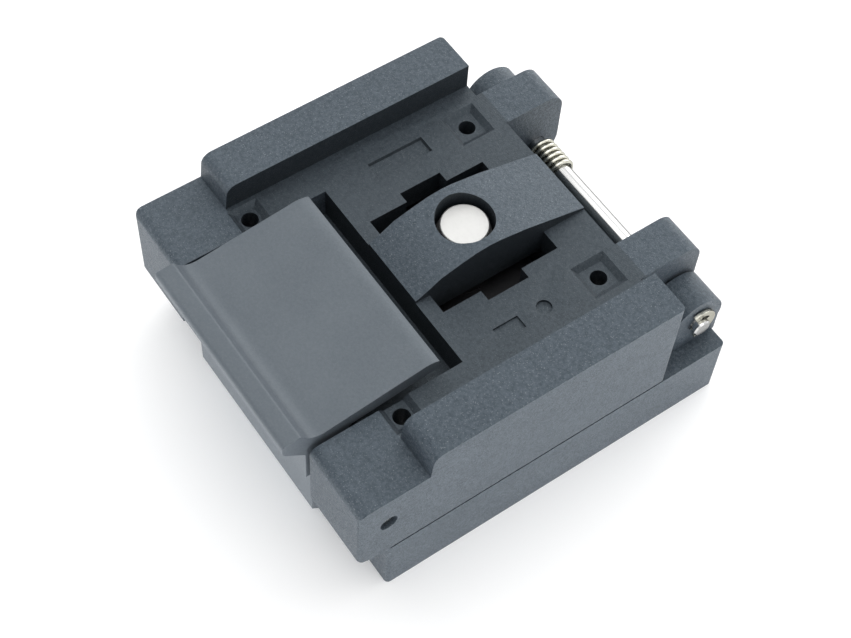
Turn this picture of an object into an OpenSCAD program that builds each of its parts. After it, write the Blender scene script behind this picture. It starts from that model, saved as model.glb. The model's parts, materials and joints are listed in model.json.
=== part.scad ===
// Clamshell test socket for a leadless chip package: a sprung lid on a steel shaft, a rocker latch,
// a floating pusher in the lid, and a floating nest over sprung contacts in the base.
// The origin is the package centre on the board face. +X runs along the hinge shaft, +Y from the
// latch to the hinge, +Z away from the board.

/* [Base] */
// Width of the base and the lid
body_w = 40; // [39:0.5:46]
// Package centre to the base's front face
front_y = 22.1; // [21.8:0.1:25]
// Package centre to the base's rear face
rear_y = 19.2; // [19:0.1:22]
// Height of the base
base_h = 7.8; // [7.6:0.1:9]
// Thickness of the floor under the nest
floor_t = 2.4; // [2.1:0.1:2.6]
// Corner radius of the base and the lid in plan
corner_r = 0.5; // [0.4:0.1:1.2]

/* [Package and contacts] */
// Width of the square package
package_w = 7; // [6:0.5:8]
// Contacts on each side
contacts_n = 12; // [6:1:12]
// Contact pitch
pitch = 0.5; // [0.45:0.01:0.5]
// Contact thickness across the row
contact_t = 0.2; // [0.14:0.01:0.22]
// Width of the contact strip as it bends
strip_w = 0.2; // [0.14:0.01:0.22]
// Height of the contact tips
tip_z = 4.6; // [4.5:0.05:4.8]

/* [Nest] */
// Outer width of the nest
nest_w = 22; // [20.5:0.5:23]
// Height of the nest
nest_h = 3.9; // [3.7:0.1:4.1]
// Travel of the nest
nest_travel = 0.5; // [0.3:0.05:0.55]
// Clearance of the nest in the base
nest_gap = 0.2; // [0.1:0.05:0.4]

/* [Hinge] */
// Diameter of the hinge shaft
shaft_d = 2; // [1.6:0.1:2.4]
// Height of the shaft axis above the base
hinge_rise = 3.6; // [3.4:0.1:4.4]
// Shaft axis to the base's rear face
hinge_inset = 2.8; // [2.7:0.1:3.2]
// Radius of the base lugs
base_lug_r = 3.2; // [2.8:0.1:3.3]
// Radius of the lid lugs
lid_lug_r = 2.8; // [2.4:0.1:3]
// Shaft axis to the lid's rear wall
rear_gap = 5.15; // [5:0.05:5.6]
// Width of each base lug
base_lug_w = 3.95; // [3:0.05:4.4]
// Width of each lid lug
lid_lug_w = 4.6; // [3.6:0.1:5]
// Side face to the outer face of a base lug
lug_inset = 2.2; // [1.8:0.1:2.6]
// Wire of the lid spring
lid_wire = 0.52; // [0.4:0.02:0.6]
// Whole turns of the lid spring
lid_turns = 5; // [4:1:6]

/* [Lid] */
// Gap between the base and the lid
parting = 0.25; // [0.15:0.05:0.4]
// Height of the lid without its ribs
lid_h = 9.95; // [9.6:0.05:11]
// Overhang of the lid past the base's front face
overhang = 3.3; // [3:0.1:3.6]
// Width of each side rib
rib_w = 4.8; // [4:0.1:5.2]
// Height of the side ribs above the lid
rib_h = 3.1; // [2:0.1:3.6]
// Half width of the bridge over the pusher
bridge_hw = 4; // [3.6:0.1:4.2]
// Rise of the bridge's crown above the lid
crown_h = 3; // [2.6:0.1:3.4]
// Diameter of the hole in the bridge
eye_d = 6; // [5.4:0.1:6.2]
// Diameter of the four through holes
through_d = 1.75; // [1.7:0.05:2]

/* [Latch] */
// Width of the latch well
well_w = 23.5; // [22:0.5:24]
// Gap between the latch and each side of the well
well_gap = 0.55; // [0.3:0.05:0.8]
// Depth of the latch well
well_d = 3.6; // [3.3:0.1:4]
// Length of the latch plate
plate_l = 13.85; // [13:0.05:14.4]
// Thickness of the latch plate
plate_t = 1.65; // [1.4:0.05:1.9]
// Tilt of the latch plate
plate_tilt = 6.8; // [6:0.1:8]
// Reach of the finger lip
lip_l = 3.3; // [2.6:0.1:3.8]
// Latch pin axis to the lid's front edge
pivot_inset = 3.2; // [3:0.1:3.4]
// Diameter of the latch pin
pin_d = 1.5; // [1.2:0.1:1.7]
// Half the spacing of the latch springs
latch_spring_x = 7.5; // [6.5:0.5:8.5]
// Rear edge of the latch plate to its springs
latch_spring_inset = 2.45; // [2.3:0.05:3]
// Height of the hook's lower end
hook_z = 2; // [1.6:0.1:2.4]

/* [Pusher] */
// Travel of the pusher
push_travel = 0.6; // [0.3:0.05:0.9]
// Half width of the pusher plate
push_hw = 11.3; // [10.8:0.1:11.6]
// Half depth of the pusher plate
push_hd = 6.9; // [6.6:0.1:7]
// Thickness of the pusher plate
push_t = 2.35; // [2:0.05:2.6]
// Diameter of the bright disc
disc_d = 4.95; // [4.4:0.05:5.1]

/* [Mounting] */
// Spacing of the threaded inserts across the base
insert_dx = 33; // [32:0.5:34]
// Spacing of the threaded inserts along the base
insert_dy = 34; // [33:0.5:35]
// Bore of the threaded inserts
insert_bore = 2; // [1.6:0.1:2.2]
// Spacing of the two locating holes
locator_dx = 34; // [32:0.5:35]
// Diameter of the locating holes
locator_d = 1.6; // [1.4:0.1:2]

/* [Hidden] */
$fn = 48;
running = 0.03;
snug = 0.02;
slip = 0.1;
cut = 1;
flush = 0.01;

side_x = body_w / 2;
hinge_y = rear_y - hinge_inset;
hinge_z = base_h + hinge_rise;
base_lug_x1 = side_x - lug_inset;
base_lug_x0 = base_lug_x1 - base_lug_w;
lid_lug_x1 = base_lug_x0 - parting;
lid_lug_x0 = lid_lug_x1 - lid_lug_w;
ring_t = 0.4;
ring_r = 2 * shaft_d / 2;
ring_x = base_lug_x1 + slip;
groove_r = 0.77 * shaft_d / 2;
shaft_x = ring_x + ring_t + 0.5;
foot_hw = 0.74 * base_lug_r;

lid_coil_r = shaft_d / 2 + 0.32;
lid_coil_x0 = 0.9 - lid_lug_x0;
lid_coil_turn = 360 * lid_turns + 135;
lid_coil_x1 = lid_coil_x0 + 1.25 * lid_wire * lid_coil_turn / 360;

lid_z0 = base_h + parting;
lid_z1 = lid_z0 + lid_h;
rib_z = lid_z1 + rib_h;
lid_y0 = -front_y - overhang;
lid_y1 = hinge_y - rear_gap;
rear_edge_y = lid_y1 + 0.55;
lid_leg_z = hinge_z - hinge_y + rear_edge_y + lid_coil_r * sqrt(2);
rib_y0 = lid_y0 + 7.5;
well_hw = well_w / 2;
well_y1 = lid_y0 + 16.95;
well_z = lid_z1 - well_d;
notch_y = lid_y0 + 5.8;

pivot_y = lid_y0 + pivot_inset;
pivot_z = lid_z1 - 4.3;
latch_hw = well_hw - well_gap;
hook_hw = latch_hw - 0.8;
plate_y0 = lid_y0 + 0.8;
plate_z0 = lid_z1 + 0.4;
latch_spring_y = plate_y0 + plate_l - latch_spring_inset;
latch_spring_z = well_z - 1.6;
latch_socket_r = 1.5;
pin_x = side_x - 0.35;
catch_gap = 0.1;
catch_r = norm([hinge_y + front_y - 0.17, hinge_rise]);
catch_z = 4.4;
catch_hw = hook_hw + 0.4;

seat_z = tip_z + 0.4;
seat_t = 0.5;
nest_z0 = floor_t + nest_travel + 0.3;
nest_z1 = nest_z0 + nest_h;
nest_hw = nest_w / 2;
pit_hw = nest_hw + nest_gap;
funnel_hw = package_w / 2 + 1.8;
carrier_z = seat_z - seat_t - nest_travel - slip;
carrier_hw = package_w / 2 + 3;
flange_hw = carrier_hw + 1.5;
flange_t = 1;
screw_xy = nest_hw - 2.1;
spring_xy = nest_hw - 2.1;
head_z = nest_z1 - 0.9;

cavity_hw = push_hw + 0.3;
cavity_hd = push_hd + 0.3;
retainer_t = 1.2;
retainer_z = lid_z0 + 0.25;
push_z0 = retainer_z + retainer_t + 0.05;
push_z1 = push_z0 + push_t;
cavity_z = lid_z1 - 3;
column_r = eye_d / 2 - 0.2;
disc_t = 1.2;
disc_z = lid_z1 + crown_h - 1.16;
nose_hw = package_w / 2 - 0.7;
nose_z = seat_z + 0.2;
push_spring = [cavity_hw - 2, 4.9];
rear_hole = [11, 8.3];
front_hole = [13.2, lid_y0 + 9.1];
retainer_hw = 15;
retainer_y0 = front_hole[1] - 1.8;
retainer_y1 = rear_hole[1] + 1.9;
screw_z = retainer_z + retainer_t + 3;
window_hw = 6.2;

insert_y = (rear_y - front_y) / 2 - 0.05;
insert_r = insert_bore / 2 + 0.6;
insert_l = 4;

// A box between two corners.
module block(x0, x1, y0, y1, z0, z1) {
    translate([x0, y0, z0]) cube([x1 - x0, y1 - y0, z1 - z0]);
}

// A box centred on the Z axis.
module slab(hw, hd, z0, z1) block(-hw, hw, -hd, hd, z0, z1);

// A profile drawn in Y and Z, extruded along X.
module along_x(x0, x1) translate([x0, 0, 0]) rotate([90, 0, 90]) linear_extrude(x1 - x0) children();

// A profile drawn in X and Z, extruded along Y.
module along_y(y0, y1) translate([0, y1, 0]) rotate([90, 0, 0]) linear_extrude(y1 - y0) children();

module rod_x(r, x0, x1, y, z) translate([x0, y, z]) rotate([0, 90, 0]) cylinder(r = r, h = x1 - x0);

module post(r, x, y, z0, z1) translate([x, y, z0]) cylinder(r = r, h = z1 - z0);

module both_sides() {
    children();
    mirror([1, 0, 0]) children();
}

module four(dx, dy) for (x = [-dx, dx], y = [-dy, dy]) translate([x, y, 0]) children();

// A rectangle with round corners, drawn from squares and circles.
module rounded(x0, x1, y0, y1, r) {
    translate([x0 + r, y0]) square([x1 - x0 - 2 * r, y1 - y0]);
    translate([x0, y0 + r]) square([x1 - x0, y1 - y0 - 2 * r]);
    for (x = [x0 + r, x1 - r], y = [y0 + r, y1 - r]) translate([x, y]) circle(r);
}

// A wire of radius r along a path, with rings square to it. ref is never parallel to the path.
function unit(v) = v / norm(v);
function heading(path, i) = unit(path[min(i + 1, len(path) - 1)] - path[max(i - 1, 0)]);
function wire_ring(p, t, ref, r, n) = let(a = unit(cross(ref, t)), b = cross(t, a))
    [for (j = [0 : n - 1]) p + r * (cos(360 * j / n) * a + sin(360 * j / n) * b)];

module wire(path, ref, r, n = 6) {
    rings = len(path);
    points = [for (i = [0 : rings - 1]) each wire_ring(path[i], heading(path, i), ref, r, n)];
    sides = [for (i = [0 : rings - 2], j = [0 : n - 1])
        [i * n + j, (i + 1) * n + j, (i + 1) * n + (j + 1) % n, i * n + (j + 1) % n]];
    start = [for (j = [0 : n - 1]) j];
    end = [for (j = [n - 1 : -1 : 0]) (rings - 1) * n + j];
    polyhedron(points, concat([start], sides, [end]));
}

// A compression spring standing on z = 0, with closed end turns.
module coil(r, wire_r, h, turns) {
    steps = 12;
    ends = 1.1;
    total = turns + 2 * ends;
    rise = h - 2 * wire_r - 2 * ends * 2 * wire_r;
    function lift(t) = t < ends ? t * 2 * wire_r
        : t > total - ends ? h - 2 * wire_r - (total - t) * 2 * wire_r
        : ends * 2 * wire_r + rise * (t - ends) / turns;
    path = [for (i = [0 : ceil(total * steps)]) let(t = min(i / steps, total))
        [r * cos(360 * t), r * sin(360 * t), wire_r + lift(t)]];
    wire(path, [0, 0, 1], wire_r);
}

// One stamped contact in its own plane: foot, stem, two bends and the rising tip.
tip_r = package_w / 2 - 0.5;
bend_r = 0.6;
lower_z = 1.5;
upper_z = 2.4;

module half_ring(y, up) {
    intersection() {
        difference() {
            circle(bend_r + strip_w / 2);
            circle(bend_r - strip_w / 2);
        }
        translate([-2, up ? 0 : -2]) square([4, 2]);
    }
}

module contact_profile() {
    half = strip_w / 2;
    stem_r = tip_r + 4 * bend_r - half;
    translate([tip_r - half, lower_z]) square([strip_w, tip_z - lower_z - half]);
    translate([tip_r, tip_z - half]) circle(half);
    translate([tip_r + bend_r, lower_z]) half_ring(0, false);
    translate([tip_r + 2 * bend_r - half, lower_z]) square([strip_w, upper_z - lower_z]);
    translate([tip_r + 3 * bend_r, upper_z]) half_ring(0, true);
    translate([stem_r, 0]) square([strip_w, upper_z]);
    translate([stem_r, 0]) square([0.7, strip_w]);
}

module contact_row(t) {
    for (i = [0 : contacts_n - 1])
        translate([0, (i - (contacts_n - 1) / 2) * pitch + t / 2, 0])
            rotate([90, 0, 0]) linear_extrude(t) children();
}

module contact_slot() {
    inner = tip_r - strip_w / 2 - slip;
    translate([inner, -cut]) square([tip_r + 4 * bend_r + 0.6 + slip - inner, upper_z + bend_r + 1.3]);
    translate([inner, 0]) square([strip_w + 2 * slip, carrier_z + cut]);
}

module contacts(turn) color("gold") rotate([0, 0, turn]) contact_row(contact_t) contact_profile();
module contacts_right() contacts(0);
module contacts_rear() contacts(90);
module contacts_left() contacts(180);
module contacts_front() contacts(270);

module contact_carrier() {
    color([0.16, 0.16, 0.17]) difference() {
        union() {
            slab(carrier_hw, carrier_hw, 0, carrier_z);
            slab(flange_hw, flange_hw, 0, flange_t);
        }
        for (k = [0 : 3]) rotate([0, 0, 90 * k]) contact_row(contact_t + slip) contact_slot();
        four(1.1, 1.1) post(0.3 + snug, 0, 0, -cut, carrier_z + cut);
    }
}

// Four spring probes under the package's middle pad.
module ground_probes() {
    color("gold") four(1.1, 1.1) rotate_extrude()
        polygon([[0, 0], [0.3, 0], [0.3, carrier_z], [0.2, carrier_z], [0.2, tip_z - 0.1], [0.1, tip_z],
            [0, tip_z]]);
}

// The front face under the latch: a catch rim that follows the lid's own swing, cut back below it.
module catch_cut() {
    difference() {
        block(-catch_hw, catch_hw, -front_y - cut, -front_y + 2.6, -cut, base_h + cut);
        rod_x(catch_r, -side_x, side_x, hinge_y, hinge_z);
    }
    block(-catch_hw, catch_hw, -front_y - cut, -front_y + 2.3, -cut, catch_z);
}

module insert_places() translate([0, insert_y, 0]) four(insert_dx / 2, insert_dy / 2) children();

module base_body() {
    color([0.2, 0.21, 0.22]) difference() {
        union() {
            linear_extrude(base_h) rounded(-side_x, side_x, -front_y, rear_y, corner_r);
            both_sides() along_x(base_lug_x0, base_lug_x1) {
                translate([hinge_y, hinge_z]) circle(base_lug_r);
                translate([hinge_y - foot_hw, base_h - cut]) square([2 * foot_hw, hinge_rise + cut]);
            }
        }
        translate([0, 0, floor_t]) linear_extrude(base_h) rounded(-pit_hw, pit_hw, -pit_hw, pit_hw, 0.8);
        slab(carrier_hw + snug, carrier_hw + snug, -cut, base_h);
        slab(flange_hw + snug, flange_hw + snug, -cut, flange_t + snug);
        rod_x(shaft_d / 2 + running, -side_x, side_x, hinge_y, hinge_z);
        for (k = [0 : 3]) rotate([0, 0, 90 * k]) post(0.7 + snug, screw_xy, 0, flange_t + 0.2, base_h);
        four(spring_xy, spring_xy) post(1.4, 0, 0, flange_t + 0.4, base_h);
        insert_places() post(insert_r + snug, 0, 0, -cut, insert_l + 0.5);
        for (x = [-1, 1]) post(locator_d / 2, x * locator_dx / 2, 0, -cut, insert_l);
        post(lid_wire / 2 + slip, lid_coil_x1, hinge_y + lid_coil_r, base_h - 1.4, base_h + cut);
        catch_cut();
    }
}

// Brass inserts pressed into the underside, for the screws that come through the board.
module threaded_inserts() {
    color("goldenrod") insert_places() difference() {
        union() {
            cylinder(r = insert_r - 0.15, h = insert_l);
            for (z = [0.3, insert_l - 1.3]) translate([0, 0, z]) cylinder(r = insert_r, h = 1);
        }
        translate([0, 0, -cut]) cylinder(d = insert_bore, h = insert_l + 2 * cut);
    }
}

// The floating nest: a funnel that centres the package over the contact tips.
module funnel() {
    top = nest_z1;
    lip = seat_z + 0.9;
    intersection() {
        along_x(-funnel_hw, funnel_hw) funnel_side(lip, top);
        along_y(-funnel_hw, funnel_hw) funnel_side(lip, top);
    }
    slab(package_w / 2 + 0.05, package_w / 2 + 0.05, seat_z, top);
}

module funnel_side(lip, top) {
    hw = package_w / 2 + 0.05;
    polygon([[-hw, lip], [hw, lip], [funnel_hw, top], [funnel_hw, top + cut], [-funnel_hw, top + cut],
        [-funnel_hw, top]]);
}

module nest() {
    open = tip_r + 0.5;
    narrow = tip_r - 0.05;
    color([0.23, 0.24, 0.25]) difference() {
        translate([0, 0, nest_z0]) linear_extrude(nest_h) rounded(-nest_hw, nest_hw, -nest_hw, nest_hw, 0.8);
        funnel();
        slab(open, narrow, 0, nest_z1);
        slab(narrow, open, 0, nest_z1);
        slab(carrier_hw + 0.3, carrier_hw + 0.3, 0, seat_z - seat_t);
        for (k = [0 : 3]) rotate([0, 0, 90 * k]) {
            post(0.9, screw_xy, 0, 0, nest_z1 + cut);
            post(1.7, screw_xy, 0, head_z, nest_z1 + cut);
        }
        four(spring_xy, spring_xy) post(1.4, 0, 0, 0, nest_z0 + 1.2);
        for (k = [0, 2]) rotate([0, 0, 90 * k])
            block(-1.6, 1.6, funnel_hw - 0.6, funnel_hw + 1, seat_z + 1.2, nest_z1 + cut);
    }
}

// Shoulder screws that hold the nest down against its springs.
module nest_screws() {
    color("silver") for (k = [0 : 3]) rotate([0, 0, 90 * k]) translate([screw_xy, 0, 0]) difference() {
        rotate_extrude() polygon([[0, flange_t + 0.4], [0.7, flange_t + 0.4], [0.7, floor_t + snug],
            [0.8, floor_t + snug], [0.8, head_z + snug], [1.5, head_z + snug], [1.5, head_z + 0.45],
            [1.3, head_z + 0.6], [0, head_z + 0.6]]);
        block(-2, 2, -0.18, 0.18, head_z + 0.35, head_z + cut);
    }
}

module nest_springs() {
    low = flange_t + 0.4;
    color("silver") four(spring_xy, spring_xy) translate([0, 0, low])
        coil(1.05, 0.15, nest_z0 + 1.2 - low - snug, 3);
}

module hinge_shaft() {
    color("silver") rotate([0, 90, 0]) translate([-hinge_z, hinge_y, -shaft_x]) rotate_extrude()
        polygon([[0, 0], [shaft_d / 2 - 0.15, 0], [shaft_d / 2, 0.15],
            [shaft_d / 2, shaft_x - ring_x - ring_t], [groove_r, shaft_x - ring_x - ring_t],
            [groove_r, shaft_x - ring_x], [shaft_d / 2, shaft_x - ring_x],
            [shaft_d / 2, shaft_x + ring_x], [groove_r, shaft_x + ring_x],
            [groove_r, shaft_x + ring_x + ring_t], [shaft_d / 2, shaft_x + ring_x + ring_t],
            [shaft_d / 2, 2 * shaft_x - 0.15], [shaft_d / 2 - 0.15, 2 * shaft_x], [0, 2 * shaft_x]]);
}

// A retaining ring with three prongs in the shaft's groove and an open mouth.
module e_ring() {
    color("silver") along_x(ring_x + snug, ring_x + ring_t - snug) translate([hinge_y, hinge_z])
        rotate(31) difference() {
            union() {
                difference() {
                    circle(ring_r);
                    circle(ring_r * 0.7);
                }
                for (a = [90, 180, 270]) rotate(a) translate([0, -0.35]) square([ring_r - 0.2, 0.7]);
            }
            circle(groove_r + snug);
            translate([0, -ring_r * 0.5]) square([2 * ring_r, ring_r]);
        }
}
module e_ring_right() e_ring();
module e_ring_left() mirror([1, 0, 0]) e_ring();

// The spring that throws the lid open. One leg presses up in a slot under the lid's rear wall, the other
// stands in the base.
module lid_spring() {
    r = lid_coil_r;
    steps = 2 * ceil(lid_coil_turn / 45);
    winding = [for (i = [0 : steps]) let(a = 135 - lid_coil_turn * i / steps)
        [lid_coil_x0 + (lid_coil_x1 - lid_coil_x0) * i / steps, hinge_y + r * cos(a), hinge_z + r * sin(a)]];
    lid_leg = [[lid_coil_x0, rear_edge_y - 0.6, lid_leg_z - 0.6], [lid_coil_x0, rear_edge_y + 1, lid_leg_z + 1]];
    base_leg = [[lid_coil_x1, hinge_y + r, base_h + 1], [lid_coil_x1, hinge_y + r, base_h - 1.2]];
    color("silver") wire(concat(lid_leg, winding, base_leg), [1, 0, 0], lid_wire / 2, 8);
}

// The lid's side view: sloping underside at the front, rounded front edge, raised side ribs.
module lid_side(top) {
    r = 1;
    polygon([[lid_y0, lid_z0 + 0.6], [lid_y0 + 1.4, lid_z0], [lid_y1, lid_z0], [lid_y1, lid_z1],
        [lid_y0 + r, lid_z1], [lid_y0 + r, lid_z1 - r], [lid_y0, lid_z1 - r]]);
    translate([lid_y0 + r, lid_z1 - r]) circle(r);
    if (top > lid_z1) {
        polygon([[rib_y0, lid_z1 - cut], [lid_y1, lid_z1 - cut], [lid_y1, top], [rib_y0 + 1.5, top],
            [rib_y0 + 1.5, top - 1.2], [rib_y0 + 0.3, top - 1.2]]);
        translate([rib_y0 + 1.5, top - 1.2]) circle(1.2);
    }
}

module lid_lug_side() {
    corner = 2;
    translate([hinge_y, hinge_z]) circle(lid_lug_r);
    translate([lid_y1 - cut, hinge_z - lid_lug_r])
        square([hinge_y - lid_y1 + cut, lid_z1 - hinge_z + lid_lug_r]);
    translate([hinge_y, hinge_z]) square([lid_lug_r, lid_z1 - hinge_z - corner]);
    translate([hinge_y - flush, hinge_z]) square([lid_lug_r - corner + flush, lid_z1 - hinge_z]);
    translate([hinge_y + lid_lug_r - corner, lid_z1 - corner]) circle(corner);
}

// The bridge's side view is a long crown; its height falls off towards the latch.
module bridge_side() {
    top = lid_z1 + crown_h;
    polygon([[well_y1, cavity_z], [well_y1, lid_z1 + 0.3], [-7.2, lid_z1 + 0.9], [-5.5, top - 1.1], [-3.3, top - 0.5],
        [-1.6, top - 0.12], [0, top], [1.2, top - 0.08], [4.5, top - 0.7], [7, top - 1.4],
        [rear_edge_y, lid_z1 + 0.3], [rear_edge_y, cavity_z]]);
}

// A shallow pocket with four sloping sides, open upwards.
module pocket_side(a, b, z, slope)
    polygon([[a + slope, z], [b - slope, z], [b, lid_z1], [b, lid_z1 + cut], [a, lid_z1 + cut], [a, lid_z1]]);

module pocket(x0, x1, y0, y1, depth, slope) {
    intersection() {
        along_y(y0 - cut, y1 + cut) pocket_side(x0, x1, lid_z1 - depth, slope);
        along_x(x0 - cut, x1 + cut) pocket_side(y0, y1, lid_z1 - depth, slope);
    }
}

module lid_window() {
    for (y = [-4.6, 4.6]) block(bridge_hw, bridge_hw + 2.28, y - 2.2, y + 2.2, cavity_z - cut, lid_z1 + crown_h);
    block(bridge_hw, bridge_hw + 3.5, -2.4, 2.4, cavity_z - cut, lid_z1 + crown_h);
}

module lid_frame() {
    color([0.27, 0.29, 0.32]) difference() {
        union() {
            intersection() {
                linear_extrude(3 * base_h) rounded(-side_x, side_x, lid_y0, lid_y1, corner_r);
                union() {
                    along_x(-side_x, side_x) lid_side(lid_z1);
                    both_sides() along_x(side_x - rib_w, side_x) lid_side(rib_z);
                }
            }
            block(-lid_lug_x0, lid_lug_x0, lid_y1 - cut, rear_edge_y, lid_z0, lid_z1);
            both_sides() along_x(lid_lug_x0, lid_lug_x1) lid_lug_side();
            along_x(-bridge_hw, bridge_hw) bridge_side();
        }
        block(-well_hw, well_hw, lid_y0 - cut, notch_y, 0, rib_z);
        block(-well_hw, well_hw, lid_y0 - cut, well_y1, well_z, rib_z + cut);
        both_sides() lid_window();
        slab(cavity_hw, cavity_hd, 0, cavity_z);
        block(-retainer_hw - slip, retainer_hw + slip, retainer_y0 - slip, retainer_y1 + slip, 0,
            retainer_z + retainer_t);
        post(eye_d / 2, 0, 0, 0, rib_z + cut);
        four(push_spring[0], push_spring[1]) post(1.45, 0, 0, cavity_z - cut, cavity_z + 0.7);
        both_sides() {
            pocket(rear_hole[0] - 2.05, rear_hole[0] + 2.05, rear_hole[1] - 2, rear_hole[1] + 2, 0.55, 0.6);
            pocket(well_hw - 1, front_hole[0] + 1.6, front_hole[1] - 1.62, front_hole[1] + 1.68, 0.55, 0.6);
            post(through_d / 2, rear_hole[0], rear_hole[1], 0, rib_z);
            post(through_d / 2, front_hole[0], front_hole[1], 0, rib_z);
            post(latch_socket_r, latch_spring_x, latch_spring_y, latch_spring_z, rib_z);
            rod_x(pin_d / 2 + snug, well_hw - cut, side_x + cut, pivot_y, pivot_z);
            rod_x(pin_d / 2 + 0.2, pin_x - 0.25, side_x + cut, pivot_y, pivot_z);
        }
        pocket(-12.25, -10.2, -3.1, 3.4, 0.3, 0.15);
        rod_x(shaft_d / 2 + running, -side_x, side_x, hinge_y, hinge_z);
        block(lid_coil_x0 - 0.8 * lid_wire, lid_coil_x0 + 0.8 * lid_wire, rear_edge_y - 1.1, rear_edge_y + cut,
            lid_z0 - cut, lid_leg_z + lid_wire);
    }
}

// The rocker latch: thumb plate and lip above the pin, hook below it.
module latch_head() {
    rise = tan(plate_tilt);
    y1 = plate_y0 + plate_l;
    lip_y = plate_y0 - lip_l;
    lip_z = lid_z1 + 2.1;
    polygon([[plate_y0, plate_z0], [plate_y0 - 1.3, lip_z], [lip_y, lip_z - 0.05], [lip_y, lip_z - 1.5],
        [plate_y0 - 0.9, pivot_z + 2.65], [plate_y0 - 0.9, pivot_z - 1.7], [pivot_y + 1.5, pivot_z - 1.7],
        [pivot_y + 1.5, plate_z0 + rise * 3.9 - plate_t], [y1, plate_z0 + rise * plate_l - plate_t],
        [y1, plate_z0 + rise * plate_l - 0.55], [y1 - 0.85, plate_z0 + rise * (plate_l - 0.85)]]);
    translate([pivot_y, pivot_z]) circle(2.2);
}

// The hook's rear face runs round the lid's hinge, so it slides off the base's catch rim.
module latch_leg() {
    front = plate_y0 + 0.15;
    difference() {
        polygon([[front, pivot_z], [front, hook_z + 0.8], [front + 0.8, hook_z], [front + 4.4, hook_z],
            [front + 4.4, catch_z - 0.9], [front + 3.4, catch_z - 0.3], [front + 1.9, catch_z + 0.4],
            [front + 1.9, base_h - 0.2], [pivot_y + 1.5, pivot_z]]);
        translate([hinge_y, hinge_z]) circle(catch_r + catch_gap, $fn = 180);
    }
}

module latch_lever() {
    color([0.36, 0.38, 0.4]) difference() {
        union() {
            along_x(-latch_hw, latch_hw) latch_head();
            along_x(-hook_hw, hook_hw) latch_leg();
        }
        rod_x(pin_d / 2 + running, -side_x, side_x, pivot_y, pivot_z);
    }
}

module latch_pin() {
    color("silver") rod_x(pin_d / 2, -pin_x, pin_x, pivot_y, pivot_z);
}

module latch_springs() {
    run = plate_l - latch_spring_inset - latch_socket_r;
    under = plate_z0 + tan(plate_tilt) * run - plate_t;
    color("silver") both_sides() translate([latch_spring_x, latch_spring_y, latch_spring_z])
        coil(latch_socket_r - 0.3, 0.2, under - latch_spring_z - slip, 4);
}

module pusher_body() {
    color([0.3, 0.31, 0.33]) difference() {
        union() {
            translate([0, 0, push_z0]) linear_extrude(push_t)
                rounded(-push_hw, push_hw, -push_hd, push_hd, 0.6);
            slab(window_hw - 0.2, window_hw - 0.2, push_z0 - retainer_t - 0.3, push_z0 + cut);
            slab(nose_hw, nose_hw, nose_z, push_z0);
            post(column_r, 0, 0, push_z0, disc_z - disc_t);
        }
        post(1 + snug, 0, 0, disc_z - disc_t - 3, rib_z);
        four(push_spring[0], push_spring[1]) post(1.45, 0, 0, push_z1 - 0.6, rib_z);
    }
}

// The pressed-in disc that closes the pusher's column.
module pusher_disc() {
    r = disc_d / 2;
    color("white") rotate_extrude() polygon([[0, disc_z - disc_t - 2.9], [1, disc_z - disc_t - 2.9],
        [1, disc_z - disc_t + snug], [r, disc_z - disc_t + snug], [r, disc_z - 0.12], [r - 0.12, disc_z],
        [0, disc_z]]);
}

module pusher_springs() {
    color("silver") four(push_spring[0], push_spring[1]) translate([0, 0, push_z1 - 0.6])
        coil(1.1, 0.17, cavity_z + 0.7 - push_z1 + 0.6 - snug, 3);
}

module retainer_places() both_sides() {
    translate([rear_hole[0], rear_hole[1], 0]) children();
    translate([front_hole[0], front_hole[1], 0]) children();
}

// The plate that keeps the pusher and its springs in the lid.
module pusher_retainer() {
    color([0.6, 0.6, 0.6]) difference() {
        translate([0, 0, retainer_z]) linear_extrude(retainer_t - snug)
            rounded(-retainer_hw, retainer_hw, retainer_y0, retainer_y1, 1);
        slab(window_hw, window_hw, 0, rib_z);
        retainer_places() {
            post(through_d / 2, 0, 0, 0, rib_z);
            post(1.5, 0, 0, 0, retainer_z + 0.55);
        }
    }
}

module retainer_screws() {
    r = through_d / 2 - 0.05;
    low = retainer_z + 0.1;
    color("silver") retainer_places() difference() {
        rotate_extrude() polygon([[0, low], [1.4, low], [1.4, retainer_z + 0.55 - snug + flush],
            [r, retainer_z + 0.55 - snug + flush], [r, screw_z - 0.2], [r - 0.2, screw_z], [0, screw_z]]);
        block(-0.16, 0.16, -2, 2, 0, low + 0.25);
    }
}

base_body();
contact_carrier();
contacts_right();
contacts_rear();
contacts_left();
contacts_front();
ground_probes();
nest();
nest_screws();
nest_springs();
threaded_inserts();
hinge_shaft();
e_ring_right();
e_ring_left();
lid_spring();
lid_frame();
latch_lever();
latch_pin();
latch_springs();
pusher_body();
pusher_disc();
pusher_springs();
pusher_retainer();
retainer_screws();
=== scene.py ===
import json
import math

import bmesh
import bpy
from mathutils import Matrix, Vector

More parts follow.
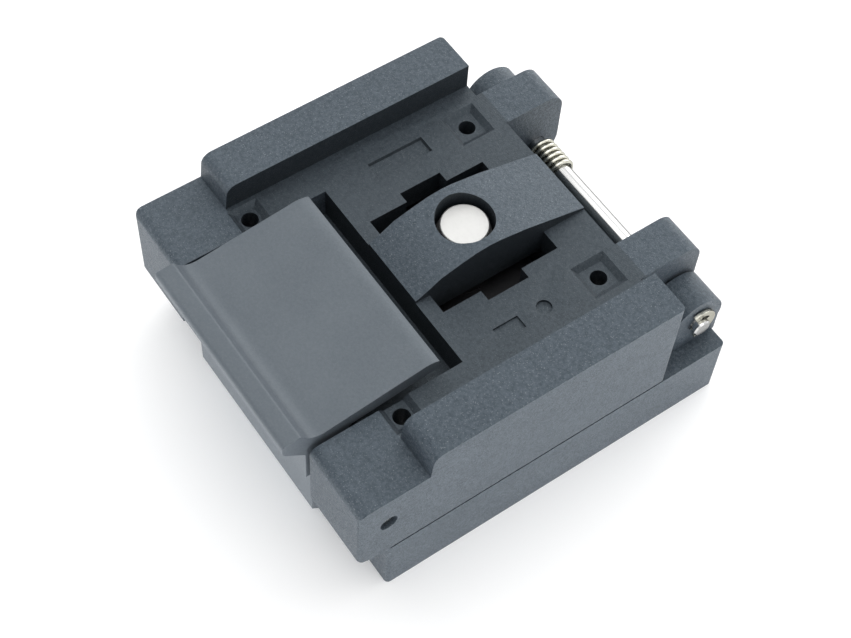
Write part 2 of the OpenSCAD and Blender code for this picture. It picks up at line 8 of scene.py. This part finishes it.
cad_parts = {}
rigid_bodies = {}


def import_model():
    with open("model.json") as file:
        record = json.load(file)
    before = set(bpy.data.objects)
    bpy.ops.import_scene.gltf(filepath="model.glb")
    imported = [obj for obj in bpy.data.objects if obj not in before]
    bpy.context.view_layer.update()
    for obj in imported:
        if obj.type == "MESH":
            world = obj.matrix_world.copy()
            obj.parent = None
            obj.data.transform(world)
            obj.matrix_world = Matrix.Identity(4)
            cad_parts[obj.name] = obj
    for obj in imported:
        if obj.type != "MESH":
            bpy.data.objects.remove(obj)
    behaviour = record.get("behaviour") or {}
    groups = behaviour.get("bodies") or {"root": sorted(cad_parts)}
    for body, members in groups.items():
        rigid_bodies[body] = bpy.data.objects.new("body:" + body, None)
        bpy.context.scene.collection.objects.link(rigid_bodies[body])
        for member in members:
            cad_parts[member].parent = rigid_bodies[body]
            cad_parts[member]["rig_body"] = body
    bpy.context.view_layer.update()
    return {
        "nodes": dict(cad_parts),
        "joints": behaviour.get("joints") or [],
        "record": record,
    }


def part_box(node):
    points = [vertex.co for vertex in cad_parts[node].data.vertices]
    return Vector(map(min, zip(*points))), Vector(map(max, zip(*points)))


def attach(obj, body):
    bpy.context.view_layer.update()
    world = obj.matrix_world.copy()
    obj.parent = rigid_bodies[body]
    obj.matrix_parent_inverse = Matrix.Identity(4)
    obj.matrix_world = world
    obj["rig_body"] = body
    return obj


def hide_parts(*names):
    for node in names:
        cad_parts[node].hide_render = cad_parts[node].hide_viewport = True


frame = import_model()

nodes = frame["nodes"]
mm = 0.001

# azimuth from the front towards the right, in degrees; lengths in metres
imageWidth = 851
sensorWidth = 36  # mm
view = {
    "azimuth": 51.424,
    "elevation": 57.59,
    "roll": 4.54,
    "distance": 175.446 * mm,
    "target": Vector((0.998, -4.7, 8.0)) * mm,
    "focal": 1729.7 / imageWidth * sensorWidth,
    "clipStart": 5 * mm,
}


def addCamera():
    az, el, roll = (math.radians(view[k]) for k in ("azimuth", "elevation", "roll"))
    back = Vector((math.sin(az) * math.cos(el), -math.cos(az) * math.cos(el), math.sin(el)))
    right = Vector((math.cos(az), math.sin(az), 0))
    up = back.cross(right)
    turnedRight = right * math.cos(roll) + up * math.sin(roll)
    turnedUp = up * math.cos(roll) - right * math.sin(roll)
    data = bpy.data.cameras.new("camera")
    data.sensor_width = sensorWidth
    data.lens = view["focal"]
    data.clip_start = view["clipStart"]
    camera = bpy.data.objects.new("camera", data)
    place = Matrix((turnedRight, turnedUp, back)).transposed().to_4x4()
    place.translation = view["target"] + back * view["distance"]
    camera.matrix_world = place
    bpy.context.collection.objects.link(camera)
    bpy.context.scene.camera = camera


def newMaterial(name):
    material = bpy.data.materials.new(name)
    material.use_nodes = True
    tree = material.node_tree
    return material, tree, tree.nodes["Principled BSDF"]


def link(tree, source, target):
    tree.links.new(source, target)


studio = {
    "floorSize": 3.0,
    "floorRough": 0.9,
    "floorColor": (0.86, 0.86, 0.86, 1),
    "floorSeen": 0.18,
    "floorGlow": 3.1,  # on the object; above plain level, so that upright faces render brighter than written
    "worldGlow": 0.64,
    "worldSeen": 1.0,
    # direction the light comes from: azimuth, elevation and distance; then width, height and power
    "lamps": {
        "overheadLamp": (0, 89, 0.45, 0.4, 0.4, 0.8),
        "rearLamp": (180, 40, 0.5, 0.5, 0.3, 0.4),
        "lowRearLamp": (205, 22, 0.5, 0.5, 0.25, 0.9),
        "leftLamp": (-90, 30, 0.5, 0.4, 0.3, 0.72),
        "rightLamp": (95, 35, 0.5, 0.4, 0.3, 0.33),
    },
}


def addGlow(tree, plain, seen):
    # one strength for light that falls on the object, another for what the camera, metal and glass see
    rays = tree.nodes.new("ShaderNodeLightPath")
    mask = rays.outputs["Is Camera Ray"]
    for label in ("Is Glossy Ray", "Is Transmission Ray"):
        larger = tree.nodes.new("ShaderNodeMath")
        larger.operation = "MAXIMUM"
        link(tree, mask, larger.inputs[0])
        link(tree, rays.outputs[label], larger.inputs[1])
        mask = larger.outputs[0]
    strength = tree.nodes.new("ShaderNodeMapRange")
    strength.inputs["To Min"].default_value = plain
    strength.inputs["To Max"].default_value = seen
    link(tree, mask, strength.inputs["Value"])
    return strength.outputs["Result"]


def addFloor():
    mesh = bpy.data.meshes.new("floor")
    bm = bmesh.new()
    bmesh.ops.create_grid(bm, x_segments=1, y_segments=1, size=studio["floorSize"])
    bm.to_mesh(mesh)
    bm.free()
    floor = bpy.data.objects.new("floor", mesh)
    bpy.context.collection.objects.link(floor)
    material, tree, shader = newMaterial("floorPaper")
    shader.inputs["Base Color"].default_value = studio["floorColor"]
    shader.inputs["Roughness"].default_value = studio["floorRough"]
    shader.inputs["Emission Color"].default_value = (1, 1, 1, 1)
    glow = addGlow(tree, studio["floorGlow"], studio["floorSeen"])
    link(tree, glow, shader.inputs["Emission Strength"])
    mesh.materials.append(material)


def addLamp(name, azimuth, elevation, distance, width, height, power):
    az, el = math.radians(azimuth), math.radians(elevation)
    away = Vector((math.sin(az) * math.cos(el), -math.cos(az) * math.cos(el), math.sin(el)))
    data = bpy.data.lights.new(name, "AREA")
    data.shape = "RECTANGLE"
    data.size, data.size_y = width, height
    data.energy = power
    lamp = bpy.data.objects.new(name, data)
    lamp.location = away * distance
    lamp.rotation_euler = away.to_track_quat("Z", "Y").to_euler()
    bpy.context.collection.objects.link(lamp)


def addLight():
    world = bpy.data.worlds.new("studio")
    bpy.context.scene.world = world
    world.use_nodes = True
    tree = world.node_tree
    background = tree.nodes["Background"]
    background.inputs["Color"].default_value = (1, 1, 1, 1)
    link(tree, addGlow(tree, studio["worldGlow"], studio["worldSeen"]), background.inputs["Strength"])
    for name, lamp in studio["lamps"].items():
        addLamp(name, *lamp)
    bpy.context.scene.view_settings.view_transform = "Standard"


addCamera()
addFloor()
addLight()
print("stage: camera, floor and light")


def newGroup(name, inputs, outputs):
    group = bpy.data.node_groups.new(name, "ShaderNodeTree")
    for label, kind, value in inputs:
        socket = group.interface.new_socket(name=label, in_out="INPUT", socket_type="NodeSocket" + kind)
        if value is not None:
            socket.default_value = value
    for label, kind in outputs:
        group.interface.new_socket(name=label, in_out="OUTPUT", socket_type="NodeSocket" + kind)
    return group, group.nodes.new("NodeGroupInput"), group.nodes.new("NodeGroupOutput")


def addNoise(tree, vector, scale, detail, roughness):
    noise = tree.nodes.new("ShaderNodeTexNoise")
    noise.inputs["Scale"].default_value = scale
    noise.inputs["Detail"].default_value = detail
    noise.inputs["Roughness"].default_value = roughness
    link(tree, vector, noise.inputs["Vector"])
    return noise.outputs["Fac"]


def addRange(tree, value, low, high, toLow, toHigh):
    node = tree.nodes.new("ShaderNodeMapRange")
    for label, number in (("From Min", low), ("From Max", high), ("To Min", toLow), ("To Max", toHigh)):
        node.inputs[label].default_value = number
    link(tree, value, node.inputs["Value"])
    return node.outputs["Result"]


def addBump(tree, shader, height, strength, distance):
    bump = tree.nodes.new("ShaderNodeBump")
    bump.inputs["Strength"].default_value = strength
    bump.inputs["Distance"].default_value = distance
    link(tree, height, bump.inputs["Height"])
    link(tree, bump.outputs["Normal"], shader.inputs["Normal"])


def addColorMix(tree, factor, second):
    # returns the sockets of the first colour and of the result
    mix = tree.nodes.new("ShaderNodeMix")
    mix.data_type = "RGBA"
    mix.inputs[7].default_value = second + (1,)
    link(tree, factor, mix.inputs[0])
    return mix.inputs[6], mix.outputs[2]


# scale, detail and roughness of each noise, and the span of it that is used
grainNoise = {
    "fine": (1.0, 3, 0.6),
    "mottle": (0.45, 2, 0.7),
    "specks": (1.3, 1, 0.5),
    "clouds": (160, 4, 0.55),
}
grainSpan = {"mottle": (0.32, 0.68), "specks": (0.64, 0.74), "clouds": (0.35, 0.65)}
heightSpan = (0.3, 0.7)


def makeGrain():
    # the fine spark-eroded texture of a moulded face, with paler specks of filler
    group, given, result = newGroup(
        "mouldedGrain",
        [("Vector", "Vector", None), ("Scale", "Float", 5000.0)],
        [("Height", "Float"), ("Mottle", "Float"), ("Specks", "Float"), ("Clouds", "Float")])
    scaled = group.nodes.new("ShaderNodeVectorMath")
    scaled.operation = "SCALE"
    link(group, given.outputs["Vector"], scaled.inputs[0])
    link(group, given.outputs["Scale"], scaled.inputs["Scale"])
    link(group, addNoise(group, scaled.outputs[0], *grainNoise["fine"]), result.inputs["Height"])
    for name, vector in (("mottle", scaled.outputs[0]), ("specks", scaled.outputs[0]),
                         ("clouds", given.outputs["Vector"])):
        noise = addNoise(group, vector, *grainNoise[name])
        link(group, addRange(group, noise, *grainSpan[name], 0, 1), result.inputs[name.capitalize()])
    return group


grain = makeGrain()


def makePlastic(name, look):
    material, tree, shader = newMaterial(name)
    coords = tree.nodes.new("ShaderNodeTexCoord")
    texture = tree.nodes.new("ShaderNodeGroup")
    texture.node_tree = grain
    texture.inputs["Scale"].default_value = look["grainScale"]
    link(tree, coords.outputs["Object"], texture.inputs["Vector"])
    blend = tree.nodes.new("ShaderNodeMix")
    blend.inputs[0].default_value = look["mottle"]
    link(tree, texture.outputs["Clouds"], blend.inputs[2])
    link(tree, texture.outputs["Mottle"], blend.inputs[3])
    darkSocket, body = addColorMix(tree, blend.outputs[0], look["light"])
    darkSocket.default_value = look["dark"] + (1,)
    speckFactor = addRange(tree, texture.outputs["Specks"], 0, 1, 0, look["speckAmount"])
    bodySocket, specked = addColorMix(tree, speckFactor, look["speck"])
    link(tree, body, bodySocket)
    # painted shade: the base colour is scaled down where a face attribute of the mesh marks painted shade, as
    # far as the look's last factor at full mark
    paintedShade = tree.nodes.new("ShaderNodeAttribute")
    paintedShade.attribute_name = "paintedShade"
    shaded = tree.nodes.new("ShaderNodeVectorMath")
    shaded.operation = "SCALE"
    link(tree, specked, shaded.inputs[0])
    link(tree, addRange(tree, paintedShade.outputs["Fac"], 0, 1, 1, look["paintedShadeTo"]), shaded.inputs["Scale"])
    link(tree, shaded.outputs[0], shader.inputs["Base Color"])
    rough = addRange(tree, texture.outputs["Height"], *heightSpan, *look["rough"])
    link(tree, rough, shader.inputs["Roughness"])
    addBump(tree, shader, texture.outputs["Height"], look["bump"], look["depth"])
    shader.inputs["Specular Tint"].default_value = look["sheen"] + (1,)
    return material


scratch = {"noise": (1.0, 3, 0.6), "depth": 0.02 * mm}


def makeMetal(name, look):
    material, tree, shader = newMaterial(name)
    coords = tree.nodes.new("ShaderNodeTexCoord")
    mapping = tree.nodes.new("ShaderNodeMapping")
    mapping.inputs["Scale"].default_value = look["stretch"]
    link(tree, coords.outputs["Object"], mapping.inputs["Vector"])
    lines = addNoise(tree, mapping.outputs["Vector"], *scratch["noise"])
    shader.inputs["Metallic"].default_value = 1
    shader.inputs["Specular Tint"].default_value = (look["rim"],) * 3 + (1,)
    darkSocket, tone = addColorMix(tree, lines, look["light"])
    darkSocket.default_value = look["dark"] + (1,)
    link(tree, tone, shader.inputs["Base Color"])
    link(tree, addRange(tree, lines, *heightSpan, *look["rough"]), shader.inputs["Roughness"])
    addBump(tree, shader, lines, look["bump"], scratch["depth"])
    return material


# each plastic's last factor is how far its colour is darkened where shade is painted in
plasticLooks = {
    "moulding": {"dark": (0.016, 0.024, 0.034), "light": (0.054, 0.067, 0.083), "mottle": 0.85,
                 "speck": (0.17, 0.185, 0.20), "speckAmount": 0.7, "grainScale": 6500.0, "rough": (0.4, 0.62),
                 "bump": 0.65, "depth": 0.00007, "sheen": (0.80, 0.93, 1.0), "paintedShadeTo": 0.3},
    "lever_plastic": {"dark": (0.064, 0.077, 0.092), "light": (0.086, 0.101, 0.117), "mottle": 0.6,
                      "speck": (0.14, 0.15, 0.16), "speckAmount": 0.35, "grainScale": 8000.0,
                      "rough": (0.44, 0.54), "bump": 0.35, "depth": 0.00004, "sheen": (0.9, 0.97, 1.0),
                      "paintedShadeTo": 0.5},
    "carrier_plastic": {"dark": (0.008, 0.008, 0.010), "light": (0.015, 0.015, 0.018), "mottle": 0.6,
                        "speck": (0.05, 0.05, 0.055), "speckAmount": 0.3, "grainScale": 7000.0,
                        "rough": (0.45, 0.55), "bump": 0.3, "depth": 0.00004, "sheen": (1.0, 1.0, 1.0),
                        "paintedShadeTo": 0.5},
}
metalLooks = {
    "stainless": {"dark": (0.56, 0.56, 0.56), "light": (0.74, 0.74, 0.73), "stretch": (60, 4000, 4000),
                  "rough": (0.10, 0.16), "bump": 0.03, "rim": 0.2},
    "spring_wire": {"dark": (0.48, 0.47, 0.40), "light": (0.68, 0.67, 0.60), "stretch": (1500, 1500, 1500),
                    "rough": (0.2, 0.3), "bump": 0.03, "rim": 0.3},
    "gold": {"dark": (0.82, 0.56, 0.24), "light": (0.90, 0.66, 0.32), "stretch": (2500, 2500, 2500),
             "rough": (0.2, 0.32), "bump": 0.1, "rim": 1.0},
    "brass": {"dark": (0.62, 0.44, 0.20), "light": (0.76, 0.58, 0.30), "stretch": (2500, 2500, 900),
              "rough": (0.25, 0.4), "bump": 0.3, "rim": 1.0},
    "disc_metal": {"dark": (0.46, 0.46, 0.45), "light": (0.59, 0.59, 0.58), "stretch": (2500, 2500, 2500),
                   "rough": (0.42, 0.58), "bump": 0.25, "rim": 1.0},
    "retainer_metal": {"dark": (0.45, 0.45, 0.46), "light": (0.56, 0.56, 0.57), "stretch": (300, 4000, 4000),
                       "rough": (0.3, 0.42), "bump": 0.2, "rim": 1.0},
}
finishes = {slot: makePlastic(slot, look) for slot, look in plasticLooks.items()}
finishes.update({slot: makeMetal(slot, look) for slot, look in metalLooks.items()})
slotOf = {row["node"]: row["material_slot"] for row in frame["record"]["subparts"]}
print("stage: materials")


# width in mm and segments of the rounds that the moulds and tools leave
edges = {
    "base_body": (0.14, 3), "lid_frame": (0.2, 3), "latch_lever": (0.14, 3), "pusher_body": (0.15, 2),
    "nest": (0.12, 2), "contact_carrier": (0.04, 1), "pusher_retainer": (0.08, 2), "latch_pin": (0.15, 3),
    "pusher_disc": (0.06, 2), "retainer_screws": (0.04, 2), "nest_screws": (0.04, 2),
}
wires = {"lid_spring": 2, "latch_springs": 1, "pusher_springs": 1, "nest_springs": 1}
turned = ("hinge_shaft", "threaded_inserts")
hinge = Vector(next(j["pos_m"] for j in frame["joints"] if j["name"] == "lid_hinge"))


# angles in degrees past which an edge is sharp; what welds and flattens the carried-over triangles
sharp = {"moulded": 28, "wire": 70, "turned": 40}
cleaning = {"weld": 0.002, "flatAngle": 0.5}


def cleanMesh(name, sharpAngle):
    mesh = nodes[name].data.copy()
    mesh.materials.clear()
    mesh.materials.append(finishes[slotOf[name]])
    bm = bmesh.new()
    bm.from_mesh(mesh)
    bmesh.ops.remove_doubles(bm, verts=bm.verts, dist=cleaning["weld"] * mm)
    bmesh.ops.dissolve_degenerate(bm, dist=cleaning["weld"] * mm, edges=bm.edges)
    bmesh.ops.dissolve_limit(bm, angle_limit=math.radians(cleaning["flatAngle"]), verts=bm.verts,
                             edges=bm.edges, delimit={"NORMAL"})
    markSharp(bm, sharpAngle)
    return mesh, bm


def markSharp(bm, sharpAngle):
    for face in bm.faces:
        face.smooth = True
    for edge in bm.edges:
        edge.smooth = not (edge.is_manifold and edge.calc_face_angle(0) > math.radians(sharpAngle))


def addPiece(name, mesh):
    piece = bpy.data.objects.new(name + ".dressed", mesh)
    bpy.context.collection.objects.link(piece)
    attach(piece, nodes[name]["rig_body"])
    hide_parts(name)
    return piece


# places in Y and Z of the latch's soft corners, with the width of each
latchCorners = {
    "valley": (-24.6, 18.4, 1.2), "ridge": (-25.9, 20.1, 0.22), "lipEnd": (-27.9, 20.05, 0.45),
    "lipUnder": (-27.9, 18.55, 0.5), "plateRear": (-11.6, 19.95, 0.8),
}
cornerSearch = {"length": 5, "near": 0.35, "segments": 5}


def alongX(bm, y, z):
    # the edges of a profile's corner, that run in X
    found = []
    for edge in bm.edges:
        a, b = (v.co / mm for v in edge.verts)
        away = max(math.hypot(v.y - y, v.z - z) for v in (a, b))
        if abs(a.x - b.x) > cornerSearch["length"] and away < cornerSearch["near"]:
            found.append(edge)
    return found


def shapeLatch(bm):
    for y, z, width in latchCorners.values():
        bmesh.ops.bevel(bm, geom=alongX(bm, y, z), offset=width * mm, offset_type="OFFSET",
                        segments=cornerSearch["segments"], profile=0.5, affect="EDGES", material=-1)
    markSharp(bm, sharp["moulded"])


# height of the lid's flats, and the zone between the ribs where shade is painted into the colour, in mm
lidFlat = 18.0
paintedShadeZone = {
    "inX": 15.4, "fromY": -17.8, "toY": 12,
    "flatTop": lidFlat + 0.2, "wallTop": lidFlat + 2.5,
    "flat": 0.65, "wall": 1.0,
}


def splitFlats(bm):
    # the flats are cut where the zone of painted shade ends, so that each face lies inside it or outside it
    for y in (paintedShadeZone["fromY"], paintedShadeZone["toY"]):
        level = [f for f in bm.faces if f.normal.z > 0.99]
        flats = [f for f in level if abs(f.calc_center_median().z / mm - lidFlat) < 0.1]
        parts = set(flats) | {v for f in flats for v in f.verts} | {e for f in flats for e in f.edges}
        bmesh.ops.bisect_plane(bm, geom=list(parts), plane_co=(0, y * mm, 0), plane_no=(0, 1, 0))


def shadeLid(mesh):
    # painted shade: the flats between the ribs and the walls round them are coloured darker, because they
    # look darker on the real lid than this light leaves them; the darkening stands in for the shade there,
    # not for the plastic's colour
    layer = mesh.attributes.new("paintedShade", "FLOAT", "FACE")
    for face, item in zip(mesh.polygons, layer.data):
        place = face.center / mm
        part = "flat" if face.normal.z > 0.5 else "wall"
        inside = abs(place.x) < paintedShadeZone["inX"] and paintedShadeZone["fromY"] < place.y < paintedShadeZone["toY"]
        item.value = paintedShadeZone[part] if inside and place.z < paintedShadeZone[part + "Top"] else 0.0


# the hinge lugs of the base run straight down from their round to the base's top
lugFoot = {"x0": 13.85, "x1": 17.8, "halfWidth": 3.05, "depth": 1.5, "bottom": 7.4, "top": 12.3,
           "lowBevel": 0.4, "near": 0.1}


def joinShapes(mesh, tool, operation):
    # tool is a bmesh; its shapes are joined to the mesh, or cut from it
    toolMesh = bpy.data.meshes.new("tool")
    tool.to_mesh(toolMesh)
    tool.free()
    toolPiece = bpy.data.objects.new("tool", toolMesh)
    body = bpy.data.objects.new("body", mesh)
    for piece in (toolPiece, body):
        bpy.context.collection.objects.link(piece)
    join = body.modifiers.new("join", "BOOLEAN")
    join.operation = operation
    join.solver = "EXACT"
    join.object = toolPiece
    joined = bpy.data.meshes.new_from_object(body.evaluated_get(bpy.context.evaluated_depsgraph_get()))
    for piece in (toolPiece, body):
        bpy.data.objects.remove(piece)
    print("stage:", operation.lower(), len(mesh.polygons), "faces before and", len(joined.polygons), "after")
    return joined


def addFeet(mesh):
    bm = bmesh.new()
    foot = lugFoot
    for side in (-1, 1):
        for end in (-1, 1):
            size = Vector((foot["x1"] - foot["x0"], foot["depth"], foot["top"] - foot["bottom"]))
            middle = Vector((side * (foot["x0"] + foot["x1"]) / 2,
                             hinge.y / mm + end * (foot["halfWidth"] - foot["depth"] / 2),
                             (foot["top"] + foot["bottom"]) / 2))
            place = Matrix.Translation(middle * mm) @ Matrix.Diagonal((size * mm).to_4d())
            bmesh.ops.create_cube(bm, size=1, matrix=place)
    rear = hinge.y + (foot["halfWidth"] - foot["near"]) * mm
    under = (foot["bottom"] + foot["near"]) * mm
    low = [e for e in bm.edges if all(v.co.z < under and v.co.y > rear for v in e.verts)]
    bmesh.ops.bevel(bm, geom=low, offset=foot["lowBevel"] * mm, offset_type="OFFSET", segments=1, profile=0.5,
                    affect="EDGES", material=-1)
    return joinShapes(mesh, bm, "UNION")


# shallow marks in the lid's right flat: a round one, taken for an ejector pin's, and a small bare pocket
flatMarks = {"ejector": (11.05, 1.6, 0.8, 0.3), "pocket": (11.15, -2.6, 1.5, 2.9, 0.22), "segments": 48}


def markFlat(mesh):
    bm = bmesh.new()
    x, y, radius, depth = flatMarks["ejector"]
    place = Matrix.Translation(Vector((x, y, lidFlat)) * mm)
    bmesh.ops.create_cone(bm, cap_ends=True, segments=flatMarks["segments"], radius1=radius * mm,
                          radius2=radius * mm, depth=2 * depth * mm, matrix=place)
    x, y, width, length, depth = flatMarks["pocket"]
    place = Matrix.Translation(Vector((x, y, lidFlat)) * mm)
    size = Matrix.Diagonal(Vector((width * mm, length * mm, 2 * depth * mm, 1)))
    bmesh.ops.create_cube(bm, size=1, matrix=place @ size)
    return joinShapes(mesh, bm, "DIFFERENCE")


def roundEdges(piece, width, segments):
    bevel = piece.modifiers.new("edges", "BEVEL")
    bevel.width = width * mm
    bevel.segments = segments
    bevel.limit_method = "ANGLE"
    bevel.angle_limit = math.radians(sharp["moulded"])
    bevel.harden_normals = True
    return bevel


def dressNode(name):
    width, segments = edges[name]
    mesh, bm = cleanMesh(name, sharp["moulded"])
    if name == "latch_lever":
        shapeLatch(bm)
    if name == "lid_frame":
        splitFlats(bm)
    bm.to_mesh(mesh)
    bm.free()
    if name == "lid_frame":
        mesh = markFlat(mesh)
        shadeLid(mesh)
    if name == "base_body":
        mesh = addFeet(mesh)
    bevel = roundEdges(addPiece(name, mesh), width, segments)
    bevel.miter_outer = "MITER_ARC"


def dressWire(name, levels):
    mesh, bm = cleanMesh(name, sharp["wire"])
    bm.to_mesh(mesh)
    bm.free()
    rounding = addPiece(name, mesh).modifiers.new("round", "SUBSURF")
    rounding.levels = rounding.render_levels = levels


# the shaft's ends are domed; rimFrom is the radius from which an edge belongs to the rim
shaftEnd = {"width": 0.4, "segments": 4, "near": 0.01, "rimFrom": 0.9}


def roundEnds(bm):
    far = max(v.co.x for v in bm.verts) - shaftEnd["near"] * mm
    rims = []
    for edge in bm.edges:
        arm = edge.verts[0].co - hinge
        if all(abs(v.co.x) > far for v in edge.verts) and math.hypot(arm.y, arm.z) > shaftEnd["rimFrom"] * mm:
            rims.append(edge)
    bmesh.ops.bevel(bm, geom=rims, offset=shaftEnd["width"] * mm, offset_type="OFFSET",
                    segments=shaftEnd["segments"], profile=0.5, affect="EDGES", material=-1)
    markSharp(bm, sharp["turned"])


# retaining ring: radii in mm, and the angles of its ends and pockets in degrees, from +Y towards +Z
ringShape = {"radii": (0.79, 1.36, 2.0), "ends": (-99, 117), "pockets": ((-76, -14), (28, 84)), "step": 3,
             "edge": 0.05, "edgeSegments": 2, "flatAngle": 1}


def dressRing(name):
    low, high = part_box(name)
    start, stop = ringShape["ends"]
    bm = bmesh.new()
    turn = Matrix.Rotation(math.radians(start), 3, "X")
    verts = [bm.verts.new(hinge + turn @ Vector((0, r * mm, 0))) for r in ringShape["radii"]]
    line = [bm.edges.new(pair) for pair in zip(verts, verts[1:])]
    bmesh.ops.spin(bm, geom=verts + line, cent=hinge, axis=(1, 0, 0), angle=math.radians(stop - start),
                   steps=(stop - start) // ringShape["step"])
    pockets = []
    for face in bm.faces:
        arm = face.calc_center_median() - hinge
        angle = math.degrees(math.atan2(arm.z, arm.y))
        if arm.length < ringShape["radii"][1] * mm and any(a < angle < b for a, b in ringShape["pockets"]):
            pockets.append(face)
    bmesh.ops.delete(bm, geom=pockets, context="FACES")
    body = bmesh.ops.extrude_face_region(bm, geom=bm.faces[:])
    moved = [v for v in body["geom"] if isinstance(v, bmesh.types.BMVert)]
    bmesh.ops.translate(bm, verts=moved, vec=(high[0] - low[0], 0, 0))
    bmesh.ops.translate(bm, verts=bm.verts, vec=(low[0] - hinge.x, 0, 0))
    bmesh.ops.recalc_face_normals(bm, faces=bm.faces)
    bmesh.ops.dissolve_limit(bm, angle_limit=math.radians(ringShape["flatAngle"]), verts=bm.verts,
                             edges=bm.edges)
    markSharp(bm, sharp["moulded"])
    mesh = bpy.data.meshes.new(name)
    bm.to_mesh(mesh)
    bm.free()
    mesh.materials.append(finishes[slotOf[name]])
    roundEdges(addPiece(name, mesh), ringShape["edge"], ringShape["edgeSegments"])


for name, node in nodes.items():
    if name.startswith("e_ring"):
        dressRing(name)
    elif name in edges:
        dressNode(name)
    elif name in wires:
        dressWire(name, wires[name])
    elif name in turned:
        mesh, bm = cleanMesh(name, sharp["turned"])
        if name == "hinge_shaft":
            roundEnds(bm)
        bm.to_mesh(mesh)
        bm.free()
        addPiece(name, mesh)
    else:
        node.data.materials.clear()
        node.data.materials.append(finishes[slotOf[name]])
print("stage: pieces")
